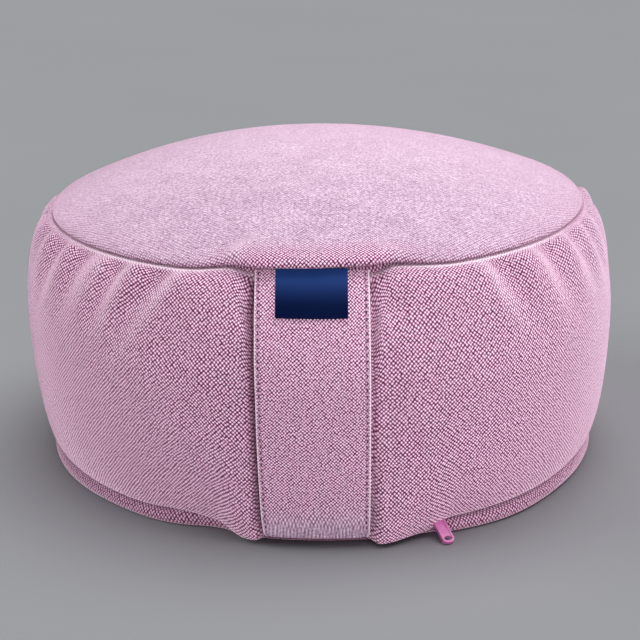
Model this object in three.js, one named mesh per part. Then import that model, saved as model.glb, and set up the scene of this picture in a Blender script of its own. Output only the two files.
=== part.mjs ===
// Zafu meditation cushion: a filled round cover, a strap handle, a small label and a zip pull.
// Millimetres, +Z up, resting on z = 0. The front, with the handle, faces -Y.
// Angles are in degrees round the cushion, 0 at the front and positive towards +X.
import * as THREE from 'three';

// Cover: top seam, crown of the top panel, side band, bottom seam and rim of the base panel
const SEAM_RADIUS = 165;
const SEAM_HEIGHT = 153;
const SEAM_TILT = 0.019;
const CROWN_HEIGHT = 190.5;
const CROWN_POWER = 2.15;
const BULGE_RADIUS = 184;
const BULGE_HEIGHT = 93;
const BULGE_FULLNESS = 1.13;
const CREASE_RADIUS = 171.4;
const CREASE_HEIGHT = 9.1;
const RIM_RADIUS = 172.9;

// The filled drum leans a little: the middle of its foot and the shift of its top seam
const FOOT = { x: 1.8, y: -2.3 };
const LEAN = { x: -3.6, y: 4.6 };

// Grooves where the panels are sewn together
const SEAM_GROOVE = { half: 2.6, depth: 1.8 };
const CREASE_GROOVE = 4;

// At the handle the top panel rolls over the seam, and the taut strap holds the band in
const ROLL_ZONE = { full: 11, fades: 25 };
const ROLL = { out: 1.5, up: 1.5, rootIn: 5, rootDown: 0.5 };
const STRAP_BED = {
  bandR: 155.5, bandZ: 148, bulgeR: 181.4, creaseR: 168.5, creaseZ: 2.6, slope: 25, margin: 3.2, fades: 8,
};

// Beside the handle the band sags to the floor and hides the rim
const SAG_ZONE = { full: 16, fades: 23 };
const SAG_HEIGHT = 2.6;
const SAG_UNDERCUT = 5.5;
const SAG_LOBES = [
  { angle: -11, out: 4.5, width: 6 },
  { angle: 11, out: 7, width: 6 },
];

// The base panel's rim spreads on the right and tucks in towards the left of the handle
const RIM_SPREADS = [
  { angle: 37, out: 3, width: 13 },
  { angle: -24, out: -4.5, width: 8 },
  { angle: -62, out: 1.5, width: 16 },
];

// The bottom seam gapes where the zip pull comes out of it
const ZIP_MOUTH = { angle: 22.5, width: 3.4, up: 4.2, deeper: 4 };

// Where the handle tugs at the top seam: in from its circle, and up
const SEAM_PULLS = [
  { angle: -17.5, inward: 8, up: 1.8, width: 5 },
  { angle: -6, inward: 4.5, up: 0, width: 7 },
  { angle: 5, inward: 5, up: 0, width: 6 },
  { angle: 16, inward: 10, up: 2.4, width: 6.5 },
];

// The tugs fade with this power of the way out across the top panel
const PULL_FADE = 9;

// Gathers of the band below the top seam: place, depth, width, slant per mm of drop, and reach down
const GATHERS = [
  { angle: -87, depth: 2.6, width: 2.6, slant: -0.10, reach: 42 },
  { angle: -72, depth: 3.1, width: 2.6, slant: -0.12, reach: 44 },
  { angle: -61, depth: 3.3, width: 2.4, slant: -0.12, reach: 46 },
  { angle: -50.5, depth: 3.1, width: 2.6, slant: -0.12, reach: 42 },
  { angle: -41, depth: 3.5, width: 2.6, slant: -0.13, reach: 52 },
  { angle: -30, depth: 3.3, width: 2.8, slant: -0.13, reach: 50 },
  { angle: 36, depth: 3.1, width: 2.6, slant: 0.12, reach: 46 },
  { angle: 49.5, depth: 3.3, width: 2.6, slant: 0.13, reach: 50 },
  { angle: 60.7, depth: 2.8, width: 2.4, slant: 0.12, reach: 42 },
  { angle: 69, depth: 3.1, width: 2.4, slant: 0.12, reach: 44 },
  { angle: 77, depth: 2.6, width: 2.4, slant: 0.10, reach: 40 },
];

// The gathers go on round the back, a little unevenly
const BACK_GATHERS = { first: 90, last: 262, spacing: 10.5, depth: 3, width: 2.6, reach: 45 };

// Hollows in the band beside the handle, just below the seam
const HOLLOWS = [
  { angle: -12.6, drop: 13, wide: 2.8, tall: 9, depth: 6 },
  { angle: 12.8, drop: 14, wide: 3.0, tall: 9, depth: 5.5 },
];

// Handle, label and zip pull
const STRAP = {
  topWidth: 62, footWidth: 57.4, topX: -4.2, footX: -0.3, thick: 3, gap: 0.6, columns: 12, footStep: 1.9,
};
const LABEL = { width: 39, x: -4.5, thick: 1, gap: 0.35, columns: 8, bottomStep: 0.36 };
const PULL = {
  length: 17, width: 7, thick: 1.8, corner: 3.2,
  eye: { width: 4.6, height: 3.2, fromEnd: 3.1 },
  slot: { width: 3, height: 1.6, fromRoot: 2.2 },
  tip: { x: 72, y: -174, z: 0.3 }, heading: 27, rise: 30,
};

// Steps of the surface: round the cushion, across the top panel, and down each half of the band
const FRONT_ARC = { half: 20, step: 1 };
const ROUND_STEP = 2.5;
const PANEL_STEPS = [0.2, 0.4, 0.58, 0.72, 0.83, 0.91, 0.965];
const BAND_STEPS = [0, 0.06, 0.14, 0.24, 0.36, 0.5, 0.66, 0.83, 1, 1.17, 1.34, 1.5, 1.65, 1.78, 1.9, 2];
const BASE_STEPS = [0.9, 0.55];

const COLOURS = { canvas: 0xcda3c0, satin: 0x101c40, enamel: 0xc774a9 };

const { cos, sin, abs, PI, hypot, asin, exp } = Math;
const radians = THREE.MathUtils.degToRad;
const degrees = THREE.MathUtils.radToDeg;
const mix = THREE.MathUtils.lerp;

function bell(offset, width) {
  return exp(-((offset / width) ** 2));
}

// Shortest turn from one angle to another
function turn(angle, from) {
  return ((angle - from + 540) % 360) - 180;
}

// 1 inside a zone of the front, easing to 0 where it fades
function zoneWeight(angle, zone) {
  return 1 - THREE.MathUtils.smoothstep(abs(turn(angle, 0)), zone.full, zone.fades);
}

function sumOver(rows, angle, column) {
  return rows.reduce((sum, row) => sum + row[column] * bell(turn(angle, row.angle), row.width), 0);
}

function backGathers() {
  const rows = [];
  const { first, last, spacing, depth, width, reach } = BACK_GATHERS;
  for (let angle = first, k = 0; angle < last; k += 1) {
    const uneven = sin(2.4 * k);
    rows.push({
      angle, depth: depth * (1 + 0.25 * uneven), width, slant: 0.1 * uneven, reach: reach + 8 * sin(1.7 * k),
    });
    angle += spacing * (1 + 0.18 * sin(4.1 * k));
  }
  return rows;
}

const ALL_GATHERS = [...GATHERS, ...backGathers()];

// How far the band is drawn in below the seam
function drawnIn(angle, drop) {
  let depth = 0;
  for (const g of ALL_GATHERS) {
    const fall = Math.max(0, 1 - drop / g.reach) ** 1.5;
    depth += g.depth * fall * bell(turn(angle, g.angle + g.slant * drop), g.width);
  }
  for (const h of HOLLOWS) {
    depth += h.depth * bell(turn(angle, h.angle), h.wide) * bell(drop - h.drop, h.tall);
  }
  return depth;
}

// Sizes of the cover's section at one angle
function sectionAt(angle) {
  const sag = zoneWeight(angle, SAG_ZONE);
  const seamR = SEAM_RADIUS - sumOver(SEAM_PULLS, angle, 'inward');
  const seamX = seamR * sin(radians(angle));
  const seamZ = SEAM_HEIGHT + SEAM_TILT * seamX + sumOver(SEAM_PULLS, angle, 'up');
  const creaseR = CREASE_RADIUS + sumOver(SAG_LOBES, angle, 'out');
  const mouth = bell(turn(angle, ZIP_MOUTH.angle), ZIP_MOUTH.width);
  return {
    seamR, seamZ, creaseR,
    roll: zoneWeight(angle, ROLL_ZONE),
    rimZ: mix(CREASE_HEIGHT, SAG_HEIGHT, sag),
    creaseZ: mix(CREASE_HEIGHT, SAG_HEIGHT, sag) + ZIP_MOUTH.up * mouth,
    grooveDepth: CREASE_GROOVE + ZIP_MOUTH.deeper * mouth,
    bulgeR: BULGE_RADIUS,
    bandR: seamR + SEAM_GROOVE.half,
    bandZ: seamZ - 0.5 * SEAM_GROOVE.half,
    rimR: mix(RIM_RADIUS + sumOver(RIM_SPREADS, angle, 'out'), creaseR - SAG_UNDERCUT, sag),
    slope: 0,
  };
}

// A point of the section turned into place, leaning with its height
function place(angle, r, z) {
  const a = radians(angle);
  const up = z / SEAM_HEIGHT;
  return new THREE.Vector3(FOOT.x + LEAN.x * up + r * sin(a), FOOT.y + LEAN.y * up - r * cos(a), z);
}

// Radius and height of the side band: step 0 at the top seam, 1 at its fullest, 2 at the bottom seam
function bandProfile(s, step) {
  const start = radians(s.slope);
  const quarter = step <= 1 ? mix(start, PI / 2, step) : (step - 1) * PI / 2;
  const c = abs(cos(quarter)) ** BULGE_FULLNESS;
  const n = sin(quarter) ** BULGE_FULLNESS;
  if (step > 1) {
    return { r: s.creaseR + (s.bulgeR - s.creaseR) * c, z: BULGE_HEIGHT + (s.creaseZ - BULGE_HEIGHT) * n };
  }
  const startC = cos(start) ** BULGE_FULLNESS;
  const startN = sin(start) ** BULGE_FULLNESS;
  return {
    r: s.bandR + (s.bulgeR - s.bandR) * (n - startN) / (1 - startN),
    z: BULGE_HEIGHT + (s.bandZ - BULGE_HEIGHT) * c / startC,
  };
}

// Left and right edge of the strap, from 0 at its top to 1 at its foot
function strapEdges(t) {
  const middle = mix(STRAP.topX, STRAP.footX, t);
  const half = mix(STRAP.topWidth, STRAP.footWidth, t) / 2;
  return [middle - half, middle + half];
}

// 1 under the strap, easing to 0 beside it
function underStrap(x, step) {
  const [left, right] = strapEdges(step / 2);
  const outside = Math.max(left - x, x - right);
  return 1 - THREE.MathUtils.smoothstep(outside, STRAP_BED.margin, STRAP_BED.fades);
}

// A point of the side band, which lies flat under the strap and puffs out elsewhere
function bandPoint(angle, step) {
  const s = sectionAt(angle);
  const own = bandProfile(s, step);
  own.r -= drawnIn(angle, s.seamZ - own.z);
  const bed = bandProfile(STRAP_BED, step);
  const spot = place(angle, own.r, own.z);
  const under = spot.y < 0 ? underStrap(spot.x, step) : 0;
  return place(angle, mix(own.r, bed.r, under), mix(own.z, bed.z, under));
}

// One section of the cover, from beside the crown's middle out, down and under to the base
function coverSection(angle) {
  const s = sectionAt(angle);
  const edgeR = s.seamR + mix(-SEAM_GROOVE.half, ROLL.out, s.roll);
  const edgeZ = s.seamZ + mix(0.5 * SEAM_GROOVE.half, ROLL.up, s.roll);
  const evenR = SEAM_RADIUS - SEAM_GROOVE.half;
  const evenZ = SEAM_HEIGHT + SEAM_TILT * evenR * sin(radians(angle)) + 0.5 * SEAM_GROOVE.half;
  const panel = (t) => {
    const tug = t ** PULL_FADE;
    const r = evenR * t + (edgeR - evenR) * tug;
    return place(angle, r, CROWN_HEIGHT + (evenZ - CROWN_HEIGHT) * t ** CROWN_POWER + (edgeZ - evenZ) * tug);
  };
  const groove = place(
    angle,
    s.seamR - mix(0, ROLL.rootIn, s.roll),
    s.seamZ - mix(SEAM_GROOVE.depth, ROLL.rootDown, s.roll),
  );
  return [
    ...PANEL_STEPS.map(panel),
    panel(1),
    groove,
    ...BAND_STEPS.map((step) => bandPoint(angle, step)),
    place(angle, Math.min(s.creaseR, s.rimR) - s.grooveDepth, 0.95 * s.creaseZ),
    place(angle, s.rimR - 1.6, 0.82 * s.rimZ),
    place(angle, s.rimR, 0.45 * s.rimZ),
    place(angle, s.rimR - 2.8, 0),
    ...BASE_STEPS.map((t) => place(angle, s.rimR * t, 0)),
  ];
}

function geometryFrom(points, triangles) {
  const geometry = new THREE.BufferGeometry();
  geometry.setFromPoints(points);
  geometry.setIndex(triangles.flat());
  geometry.computeVertexNormals();
  return geometry;
}

// The filled cover: sections side by side, closed by the crown's middle and the base's middle
function cushionGeometry() {
  const sections = [];
  for (let angle = -180; angle < 180; angle += abs(angle) < FRONT_ARC.half ? FRONT_ARC.step : ROUND_STEP) {
    sections.push(coverSection(angle));
  }
  const rows = sections[0].length;
  const points = sections.flat();
  const top = points.push(place(0, 0, CROWN_HEIGHT)) - 1;
  const base = points.push(place(0, 0, 0)) - 1;
  const triangles = [];
  for (let k = 0; k < sections.length; k += 1) {
    const here = k * rows;
    const next = ((k + 1) % sections.length) * rows;
    triangles.push([top, here, next]);
    for (let i = 0; i + 1 < rows; i += 1) {
      triangles.push([here + i, here + i + 1, next + i + 1], [here + i, next + i + 1, next + i]);
    }
    triangles.push([here + rows - 1, base, next + rows - 1]);
  }
  return geometryFrom(points, triangles);
}

// A sheet of cloth from a grid of points on its inner and outer face
function sheetGeometry(inner, outer) {
  const rows = inner.length;
  const columns = inner[0].length;
  const points = [...inner.flat(), ...outer.flat()];
  const lower = (i, j) => i * columns + j;
  const upper = (i, j) => rows * columns + lower(i, j);
  const triangles = [];
  const quad = (a, b, c, d) => triangles.push([a, b, c], [a, c, d]);
  for (let i = 0; i + 1 < rows; i += 1) {
    for (let j = 0; j + 1 < columns; j += 1) {
      quad(upper(i, j), upper(i + 1, j), upper(i + 1, j + 1), upper(i, j + 1));
      quad(lower(i, j), lower(i, j + 1), lower(i + 1, j + 1), lower(i + 1, j));
    }
    quad(upper(i, 0), lower(i, 0), lower(i + 1, 0), upper(i + 1, 0));
    quad(upper(i + 1, columns - 1), lower(i + 1, columns - 1), lower(i, columns - 1), upper(i, columns - 1));
  }
  for (let j = 0; j + 1 < columns; j += 1) {
    quad(upper(0, j + 1), lower(0, j + 1), lower(0, j), upper(0, j));
    quad(upper(rows - 1, j), lower(rows - 1, j), lower(rows - 1, j + 1), upper(rows - 1, j + 1));
  }
  return geometryFrom(points, triangles);
}

// A point over the strap's bed, x across and one step down it, lifted along the bed's normal
function overBed(x, step, lift) {
  const { r, z } = bandProfile(STRAP_BED, step);
  const nudge = 0.01;
  const above = bandProfile(STRAP_BED, Math.max(0, step - nudge));
  const below = bandProfile(STRAP_BED, Math.min(2, step + nudge));
  const length = hypot(below.r - above.r, below.z - above.z);
  const liftedR = r + lift * (above.z - below.z) / length;
  const liftedZ = z + lift * (below.r - above.r) / length;
  const middle = place(0, 0, liftedZ).x;
  return place(degrees(asin((x - middle) / liftedR)), liftedR, liftedZ);
}

// A sheet over the strap's bed, one row of points for each step between its two edges
function sheetOverBed(steps, columns, edges, lift, thick) {
  const face = (height) => steps.map((step) => {
    const [left, right] = edges(step / 2);
    const across = (_, j) => overBed(mix(left, right, j / columns), step, height);
    return Array.from({ length: columns + 1 }, across);
  });
  return sheetGeometry(face(lift), face(lift + thick));
}

function handleGeometry() {
  const steps = BAND_STEPS.filter((step) => step <= STRAP.footStep);
  return sheetOverBed(steps, STRAP.columns, strapEdges, STRAP.gap, STRAP.thick);
}

function labelGeometry() {
  const edges = () => [LABEL.x - LABEL.width / 2, LABEL.x + LABEL.width / 2];
  const steps = BAND_STEPS.filter((step) => step <= LABEL.bottomStep);
  const lift = STRAP.gap + STRAP.thick + LABEL.gap;
  return sheetOverBed(steps, LABEL.columns, edges, lift, LABEL.thick);
}

// Zip pull: a flat tab with a round end, a finger eye and a small slot at its root
function pullGeometry() {
  const half = PULL.width / 2;
  const { corner, length, eye, slot } = PULL;
  const tab = new THREE.Shape();
  tab.moveTo(-half, 0);
  tab.lineTo(half, 0);
  tab.lineTo(half, length - corner);
  tab.quadraticCurveTo(half, length, 0, length);
  tab.quadraticCurveTo(-half, length, -half, length - corner);
  tab.closePath();
  const hole = (size, middle) => {
    const path = new THREE.Path();
    path.absellipse(0, middle, size.width / 2, size.height / 2, 0, 2 * PI, true);
    return path;
  };
  tab.holes.push(hole(eye, length - eye.fromEnd), hole(slot, slot.fromRoot));
  const flat = { depth: PULL.thick, bevelEnabled: false, curveSegments: 8 };
  return new THREE.ExtrudeGeometry(tab, flat).translate(0, -length, 0);
}

function piece(name, geometry, color, roughness, metalness) {
  const mesh = new THREE.Mesh(geometry, new THREE.MeshStandardMaterial({ color, roughness, metalness }));
  mesh.name = name;
  return mesh;
}

const group = new THREE.Group();
group.add(piece('cushion', cushionGeometry(), COLOURS.canvas, 0.95, 0));
group.add(piece('handle', handleGeometry(), COLOURS.canvas, 0.95, 0));
group.add(piece('label', labelGeometry(), COLOURS.satin, 0.55, 0));

// The pull slopes from the bottom seam down to the floor, its tip where the group stands
const pull = piece('zip_pull', pullGeometry(), COLOURS.enamel, 0.35, 0.2);
pull.rotation.x = radians(-PULL.rise);
const pullPlace = new THREE.Group();
pullPlace.position.set(PULL.tip.x, PULL.tip.y, PULL.tip.z);
pullPlace.rotation.z = PI + radians(PULL.heading);
pullPlace.add(pull);
group.add(pullPlace);

export default group;
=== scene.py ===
import math

import bpy
import numpy as np
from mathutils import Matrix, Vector


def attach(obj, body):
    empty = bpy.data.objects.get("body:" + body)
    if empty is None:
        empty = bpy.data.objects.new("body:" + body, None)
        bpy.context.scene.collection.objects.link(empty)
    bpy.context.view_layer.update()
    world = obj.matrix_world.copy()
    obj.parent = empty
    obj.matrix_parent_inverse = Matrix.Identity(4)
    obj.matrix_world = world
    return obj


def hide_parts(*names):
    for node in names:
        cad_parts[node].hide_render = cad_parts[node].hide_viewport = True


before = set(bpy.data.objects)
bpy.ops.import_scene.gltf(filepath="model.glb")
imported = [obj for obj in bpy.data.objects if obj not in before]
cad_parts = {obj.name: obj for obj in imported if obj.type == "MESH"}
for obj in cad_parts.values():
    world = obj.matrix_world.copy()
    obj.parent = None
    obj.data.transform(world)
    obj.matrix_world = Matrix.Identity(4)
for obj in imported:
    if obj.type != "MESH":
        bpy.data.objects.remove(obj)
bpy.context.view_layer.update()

MM = 0.001
ROOT = "root"

# Camera: the photograph's place and angle, for a square frame
PHOTO_PIXELS = 640
FOCAL_PIXELS = 1599
SENSOR_MM = 36
CAMERA_BACK = 974.6
CAMERA_HEIGHT = 404.8
CAMERA_PITCH = 18.84

# Cover, in millimetres: the driving sizes of the part's solids
SEAM_RADIUS = 165
SEAM_HEIGHT = 153
SEAM_TILT = 0.019
CROWN_HEIGHT = 190.5
CROWN_POWER = 2.15
BULGE_RADIUS = 184
BULGE_HEIGHT = 93
BULGE_FULLNESS = 1.13
CREASE_RADIUS = 171.4
CREASE_HEIGHT = 9.1
CREASE_GROOVE = 6
RIM_RADIUS = 172.9
# Middle of the cushion on the floor, and how far it has moved over at the seam's height
FOOT = (1.8, -2.3)
LEAN = (-3.6, 4.6)

# Angles are in degrees round the cushion, 0 at the front and positive towards +X
ROLL_ZONE = {"middle": 0, "full": 11, "fades": 25}
# At the front the bottom seam sags to the floor, in two lobes beside the strap
SAG_ZONE = {"middle": 2.2, "full": 16.5, "fades": 22.5}
SAG_HEIGHT = 2.6
SAG_RIM = 168.7
SAG_LOBES = [
    {"angle": -11, "out": 5.5, "width": 6},
    {"angle": 10.5, "out": 8.5, "width": 5.5},
]
# The bottom seam and the rim below it wander a little
CREASE_RISES = [
    {"angle": 70, "up": 4, "width": 20},
    {"angle": -27, "up": 2.5, "width": 7},
]
RIM_SPREADS = [
    {"angle": 37, "out": 3, "width": 13},
    {"angle": -21, "out": -8, "width": 7.5},
    {"angle": -62, "out": 1.5, "width": 16},
]
# Rows of the rim, as millimetres in from its edge and shares of the seam's height, and the painted shade on
# the rim under the band's overhang, heavier at the front
RIM_ROWS = [
    {"inset": 2.2, "height": 0.85},
    {"inset": 0.6, "height": 0.66},
    {"inset": 0.0, "height": 0.4},
    {"inset": 0.8, "height": 0.12},
    {"inset": 3.0, "height": 0.0},
]
RIM_SHADE = {"sides": 0.4, "front": 0.75}
# Painted shade in the root of the bottom seam
CREASE_ROOT = {"height": 0.96, "dark": 0.9}
# The top seam is pulled in beside and over the strap, and the top panel with it
SEAM_PULLS = [
    {"angle": -17.5, "inward": 7, "up": 0.7, "width": 5},
    {"angle": -6, "inward": 4.5, "up": 0, "width": 7},
    {"angle": 5, "inward": 5, "up": 0, "width": 6},
    {"angle": 16, "inward": 8, "up": 0.3, "width": 6.5},
]
PULL_FADE = 9
# Folds that the pulled seam raises on the top panel, as lines seen from above, and the shares of a fold's
# length over which it rises and falls
TOP_FOLDS = [
    {"start": (-60, -153), "end": (-34, -134), "height": 1.8, "width": 4},
    {"start": (52, -154), "end": (30, -140), "height": 1.0, "width": 5},
]
FOLD_RISES = (-0.2, 0.2)
FOLD_FALLS = (0.5, 1.2)
# Painted highlight on the raised folds of the top panel, by their height
FOLD_HIGHLIGHT = 0.13

# Gathers below the top seam: place, depth, width, slant per mm of drop, and reach down the band
GATHERS = [
    {"angle": -87, "depth": 2.6, "width": 2.6, "slant": -0.10, "reach": 42},
    {"angle": -72, "depth": 3.1, "width": 2.6, "slant": -0.12, "reach": 44},
    {"angle": -61, "depth": 3.3, "width": 2.4, "slant": -0.12, "reach": 46},
    {"angle": -50.5, "depth": 3.1, "width": 2.6, "slant": -0.12, "reach": 42},
    {"angle": -46, "depth": 1.6, "width": 1.5, "slant": -0.12, "reach": 30},
    {"angle": -40.5, "depth": 3.4, "width": 2.4, "slant": -0.13, "reach": 48},
    {"angle": -30, "depth": 3.6, "width": 2.6, "slant": -0.22, "reach": 58},
    {"angle": 36, "depth": 3.4, "width": 2.6, "slant": 0.16, "reach": 50},
    {"angle": 49.5, "depth": 3.3, "width": 2.6, "slant": 0.13, "reach": 50},
    {"angle": 60.7, "depth": 2.8, "width": 2.4, "slant": 0.12, "reach": 42},
    {"angle": 69, "depth": 3.1, "width": 2.4, "slant": 0.12, "reach": 44},
    {"angle": 77, "depth": 2.6, "width": 2.4, "slant": 0.10, "reach": 40},
]
GATHERS_START = 0.14
GATHERS_DEEPER = 1.5
GATHERS_LONGER = 1.5
GATHERS_FALL = 1.5
# The soft ridges beside a gather's valley, and the pale crest on it, a painted highlight on the side towards
# the strap, placed in gather widths
GATHER_RIDGE = {"place": 1.9, "height": 0.35}
CREST = {"place": 1.35, "wide": 0.5, "pale": 0.27}
# The gathers go on round the back, where each size varies by a sine of its own
BACK_GATHERS = {"first": 90, "last": 262, "spacing": 10.5, "depth": 3, "width": 2.6, "reach": 45}
BACK_VARIES = {
    "depth": {"by": 0.25, "turn": 2.4},
    "slant": {"by": 0.1, "turn": 2.4},
    "reach": {"by": 8, "turn": 1.7},
    "spacing": {"by": 0.18, "turn": 4.1},
}
# Hollows beside the strap's top
HOLLOWS = [
    {"angle": -12.6, "drop": 13, "wide": 2.8, "tall": 9, "depth": 6},
    {"angle": 12.8, "drop": 14, "wide": 3.0, "tall": 9, "depth": 5.5},
]

# The top panel's edge rolls over into the seam, and rolls further where it hangs over the strap. Each row
# gives a point as millimetres out and up from the seam, and its marks: the pale nap colour, partly painted
# sheen, and painted shade that deepens into the seam; the last one is the seam's root.
EDGE_ROWS = [
    {"out": -4.6, "up": 5.2, "strap_out": -4.2, "strap_up": 7.6, "rubbed": 0.7, "cavity": 0},
    {"out": -2.2, "up": 3.9, "strap_out": -1.5, "strap_up": 6.4, "rubbed": 0.7, "cavity": 0},
    {"out": -0.8, "up": 2.5, "strap_out": 0.3, "strap_up": 4.8, "rubbed": 0.6, "cavity": 0.06},
    {"out": -0.2, "up": 1.2, "strap_out": 0.9, "strap_up": 3.2, "rubbed": 0.3, "cavity": 0.2},
    {"out": -0.7, "up": 0.5, "strap_out": 0.2, "strap_up": 1.9, "rubbed": 0, "cavity": 0.3},
    {"out": -5.0, "up": -0.4, "strap_out": -8.0, "strap_up": 1.2, "rubbed": 0, "cavity": 0.4},
]
# The band's own edge, a thin ridge below the seam. It is tucked in row by row under the strap, and its pale
# line, a painted highlight where the ridge catches the light, fades at the sides and by the strap. Painted
# shade fills the seam above the ridge.
RIDGE_ROWS = [
    {"out": -3.2, "up": -0.9, "fold": 0, "cavity": 0.4},
    {"out": -0.2, "up": -0.5, "fold": 0, "cavity": 0.25},
    {"out": 0.9, "up": -0.6, "fold": 0.95, "cavity": 0},
]
RIDGE_TUCK = {"inward": 0.8, "up": 0.5}
RIDGE_LINE = {"full": 40, "fades": 72, "by_strap": 0.3}
BAND_START = {"out": 1.7, "down": 1.6}
# Share of the pale nap colour on the band's far sides, where the photo shows it smooth and pale: a painted
# highlight of fuzz that catches the light at a slant, strongest on the right, the lit side. Then the steps
# down the band over which it ends
SIDE_HIGHLIGHT = [
    {"angle": -110, "share": 0},
    {"angle": -85, "share": 0.2},
    {"angle": -60, "share": 0},
    {"angle": 48, "share": 0},
    {"angle": 75, "share": 0.45},
    {"angle": 95, "share": 0.35},
    {"angle": 140, "share": 0},
]
SIDE_HIGHLIGHT_ENDS = (1.3, 1.8)

# The bed that the taut strap holds in, and the strap on it
STRAP_BED = {
    "band_r": 155.5, "band_z": 148, "bulge_r": 183.4, "crease_r": 169.3, "crease_z": 2.6, "slope": 25,
}
STRAP_BED_EDGE = {"margin": 0.3, "top_fades": 14, "fades": 7, "top_ends": 0.6}
STRAP_CREVICE = {"out": 1.2, "width": 1.3, "depth": 3.8, "ends": (1.65, 1.9)}
# Painted shade on the band beside the strap's long edges, heaviest on the left, where the strap stands
# between the band and the light from the right
STRAP_SHADE = {"left": 0.85, "right": 0.1, "width": 3.6}
STRAP = {"gap": 0.6, "thick": 3.0, "clearance": 0.3, "rounding": 0.5, "round_width": 0.8}
STRAP_EDGES = [
    {"down": 0.0, "left": -35.4, "right": 26.8},
    {"down": 0.35, "left": -35.4, "right": 27.2},
    {"down": 0.6, "left": -34.6, "right": 27.6},
    {"down": 0.8, "left": -32.8, "right": 27.9},
    {"down": 0.895, "left": -31.6, "right": 28.0},
    {"down": 0.915, "left": -29.8, "right": 26.2},
]
STRAP_STEPS = (-0.06, 1.825)
# Over these steps, near its foot, the strap's weave is stretched into ribs
STRAP_RIBS = {"from": 1.5, "full": 1.76, "squeeze": 0.1, "rubbed": 0.86}
# The stitched groove along each long side, with painted shade in it, the pale line of the folded edge outside
# it, partly a painted highlight and brighter on the lit right side, and the painted shade of the foot where
# it turns under
STITCH_INSET = 2.3
STITCH_DIP = {"depth": 0.8, "width": 0.9}
STITCH_SHADE = {"share": 0.4, "width": 0.6}
STITCH = {"length": 3.6, "pitch": 3.6, "wide": 1.25, "proud": 0.15, "sides": 8, "rings": 6}
STRAP_EDGE_HIGHLIGHT = {"left": 0.65, "right": 0.9, "full": 0.4, "fades": 1.5}
FOOT_SHADE = {"share": 0.12, "steps": 0.3}
# Rows and columns of the strap's mesh: the columns are shares of its width, closest along the grooves
STRAP_ROWS = 90
STRAP_SIDE_COLUMNS = np.array([0, 0.008, 0.02, 0.035, 0.05, 0.063, 0.0725, 0.082, 0.095])
STRAP_INNER_COLUMNS = np.linspace(0.12, 0.88, 20)

# Label: a plate on the strap that bends out of the seam, with its loose end standing off a little
LABEL = {"width": 39, "x": -4.5, "gap": 0.35, "thick": 0.8, "rows": 24, "columns": 30}
LABEL_STEPS = (-0.06, 0.395)
LABEL_BEND = {"height": 0.2, "step": 0.1, "width": 0.08}
LABEL_CURL = {"height": 0.4, "power": 3}
LABEL_SHEEN = {"share": 0.75, "from": -0.06, "ends": 0.33}

# Zip pull: a tab with a raised rim and an eye, its tip on the floor
PULL = {"length": 17, "width": 7, "rim": 0.9, "rim_thick": 1.8, "bevel": 0.15, "smooth": 40}
PULL_PLATE = {"inset": 0.3, "low": 0.2, "thick": 1.2}
PULL_ARC = {"height": 0.8, "points": 17}
PULL_EYE = {"wide": 2.5, "tall": 1.5, "from_tip": 3.0, "points": 24}
PULL_TIP = (72, -174, 0.3)
PULL_HEADING = 27
PULL_RISE = 30

# Sections round the cover, closest at the strap's edges, and the rows of each panel
SECTION_STEPS = [
    {"from": -180, "step": 1.8},
    {"from": -100, "step": 1.2},
    {"from": -24, "step": 0.5},
    {"from": -14, "step": 0.2},
    {"from": -9, "step": 0.5},
    {"from": 7, "step": 0.2},
    {"from": 12, "step": 0.5},
    {"from": 24, "step": 1.2},
    {"from": 100, "step": 1.8},
]
PANEL_ROWS = 16
PANEL_SPACING = 0.9
BAND_ROWS = 34
BASE_ROWS = (0.9, 0.7, 0.45, 0.2)
# Nap on the top panel, by the share of its radius: it thins outwards and ends towards the edge. Its pale
# colour is partly a painted sheen of the top, which is seen at a slant
PANEL_NAP_SHEEN = {"thins": 0.08, "from": 0.55, "to": 0.95, "ends": 0.88}
# Step between the two points that give a profile's direction, and points that measure a length along the bed
NUDGE = 0.01
BED_SAMPLES = 200

# The simulated swelling of the side band: the coarse cover's sections, the cloth's settings, the largest
# shift, and the angle that the strap holds flat
SWELL = {"sections": 180, "pressure": 25, "stiffness": 4, "shear": 2, "frames": 20, "limit": 4, "strap": 13}

# Soft distant lights, so that the floor is lit evenly, each with the way from the object to the light. Two
# low ones are flagged off the floor, so that its shadow stays short and deep.
LIGHTS = [
    {"name": "overhead", "strength": 1.9, "angle": 50, "towards": (0.2, 0.2, 0.96), "on_floor": True},
    {"name": "right", "strength": 2.15, "angle": 40, "towards": (0.94, 0.05, 0.33), "on_floor": False},
    {"name": "left", "strength": 1.2, "angle": 40, "towards": (-0.88, 0.05, 0.42), "on_floor": True},
    {"name": "front", "strength": 2.0, "angle": 30, "towards": (0.1, -0.97, 0.22), "on_floor": False},
]
STUDIO = {"floor_metres": 14, "air": "#e8ebf0", "air_strength": 0.28}


# Colours and material nodes

def linear(hex_colour):
    """An sRGB hex colour as linear RGBA."""
    parts = [int(hex_colour[i:i + 2], 16) / 255 for i in (1, 3, 5)]
    return [p / 12.92 if p <= 0.04045 else ((p + 0.055) / 1.055) ** 2.4 for p in parts] + [1.0]


def add(tree, kind, settings=None, stops=(), **links):
    """Adds a node. settings holds its properties, stops a ramp's places and hex colours in rising order, and
    links its inputs, as values or as other nodes' sockets."""
    node = tree.nodes.new(kind)
    for name, value in (settings or {}).items():
        setattr(node, name, value)
    for k, (position, colour) in enumerate(stops):
        ramp = node.color_ramp.elements
        stop = ramp[k] if k < len(ramp) else ramp.new(position)
        stop.position, stop.color = position, linear(colour)
    for name, value in links.items():
        key = int(name[2:]) if name.startswith("in") and name[2:].isdigit() else name.replace("_", " ")
        if isinstance(value, bpy.types.NodeSocket):
            tree.links.new(value, node.inputs[key])
        else:
            node.inputs[key].default_value = value
    return node


def new_material(name):
    material = bpy.data.materials.new(name)
    material.use_nodes = True
    tree = material.node_tree
    return material, tree, tree.nodes["Principled BSDF"]
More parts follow.
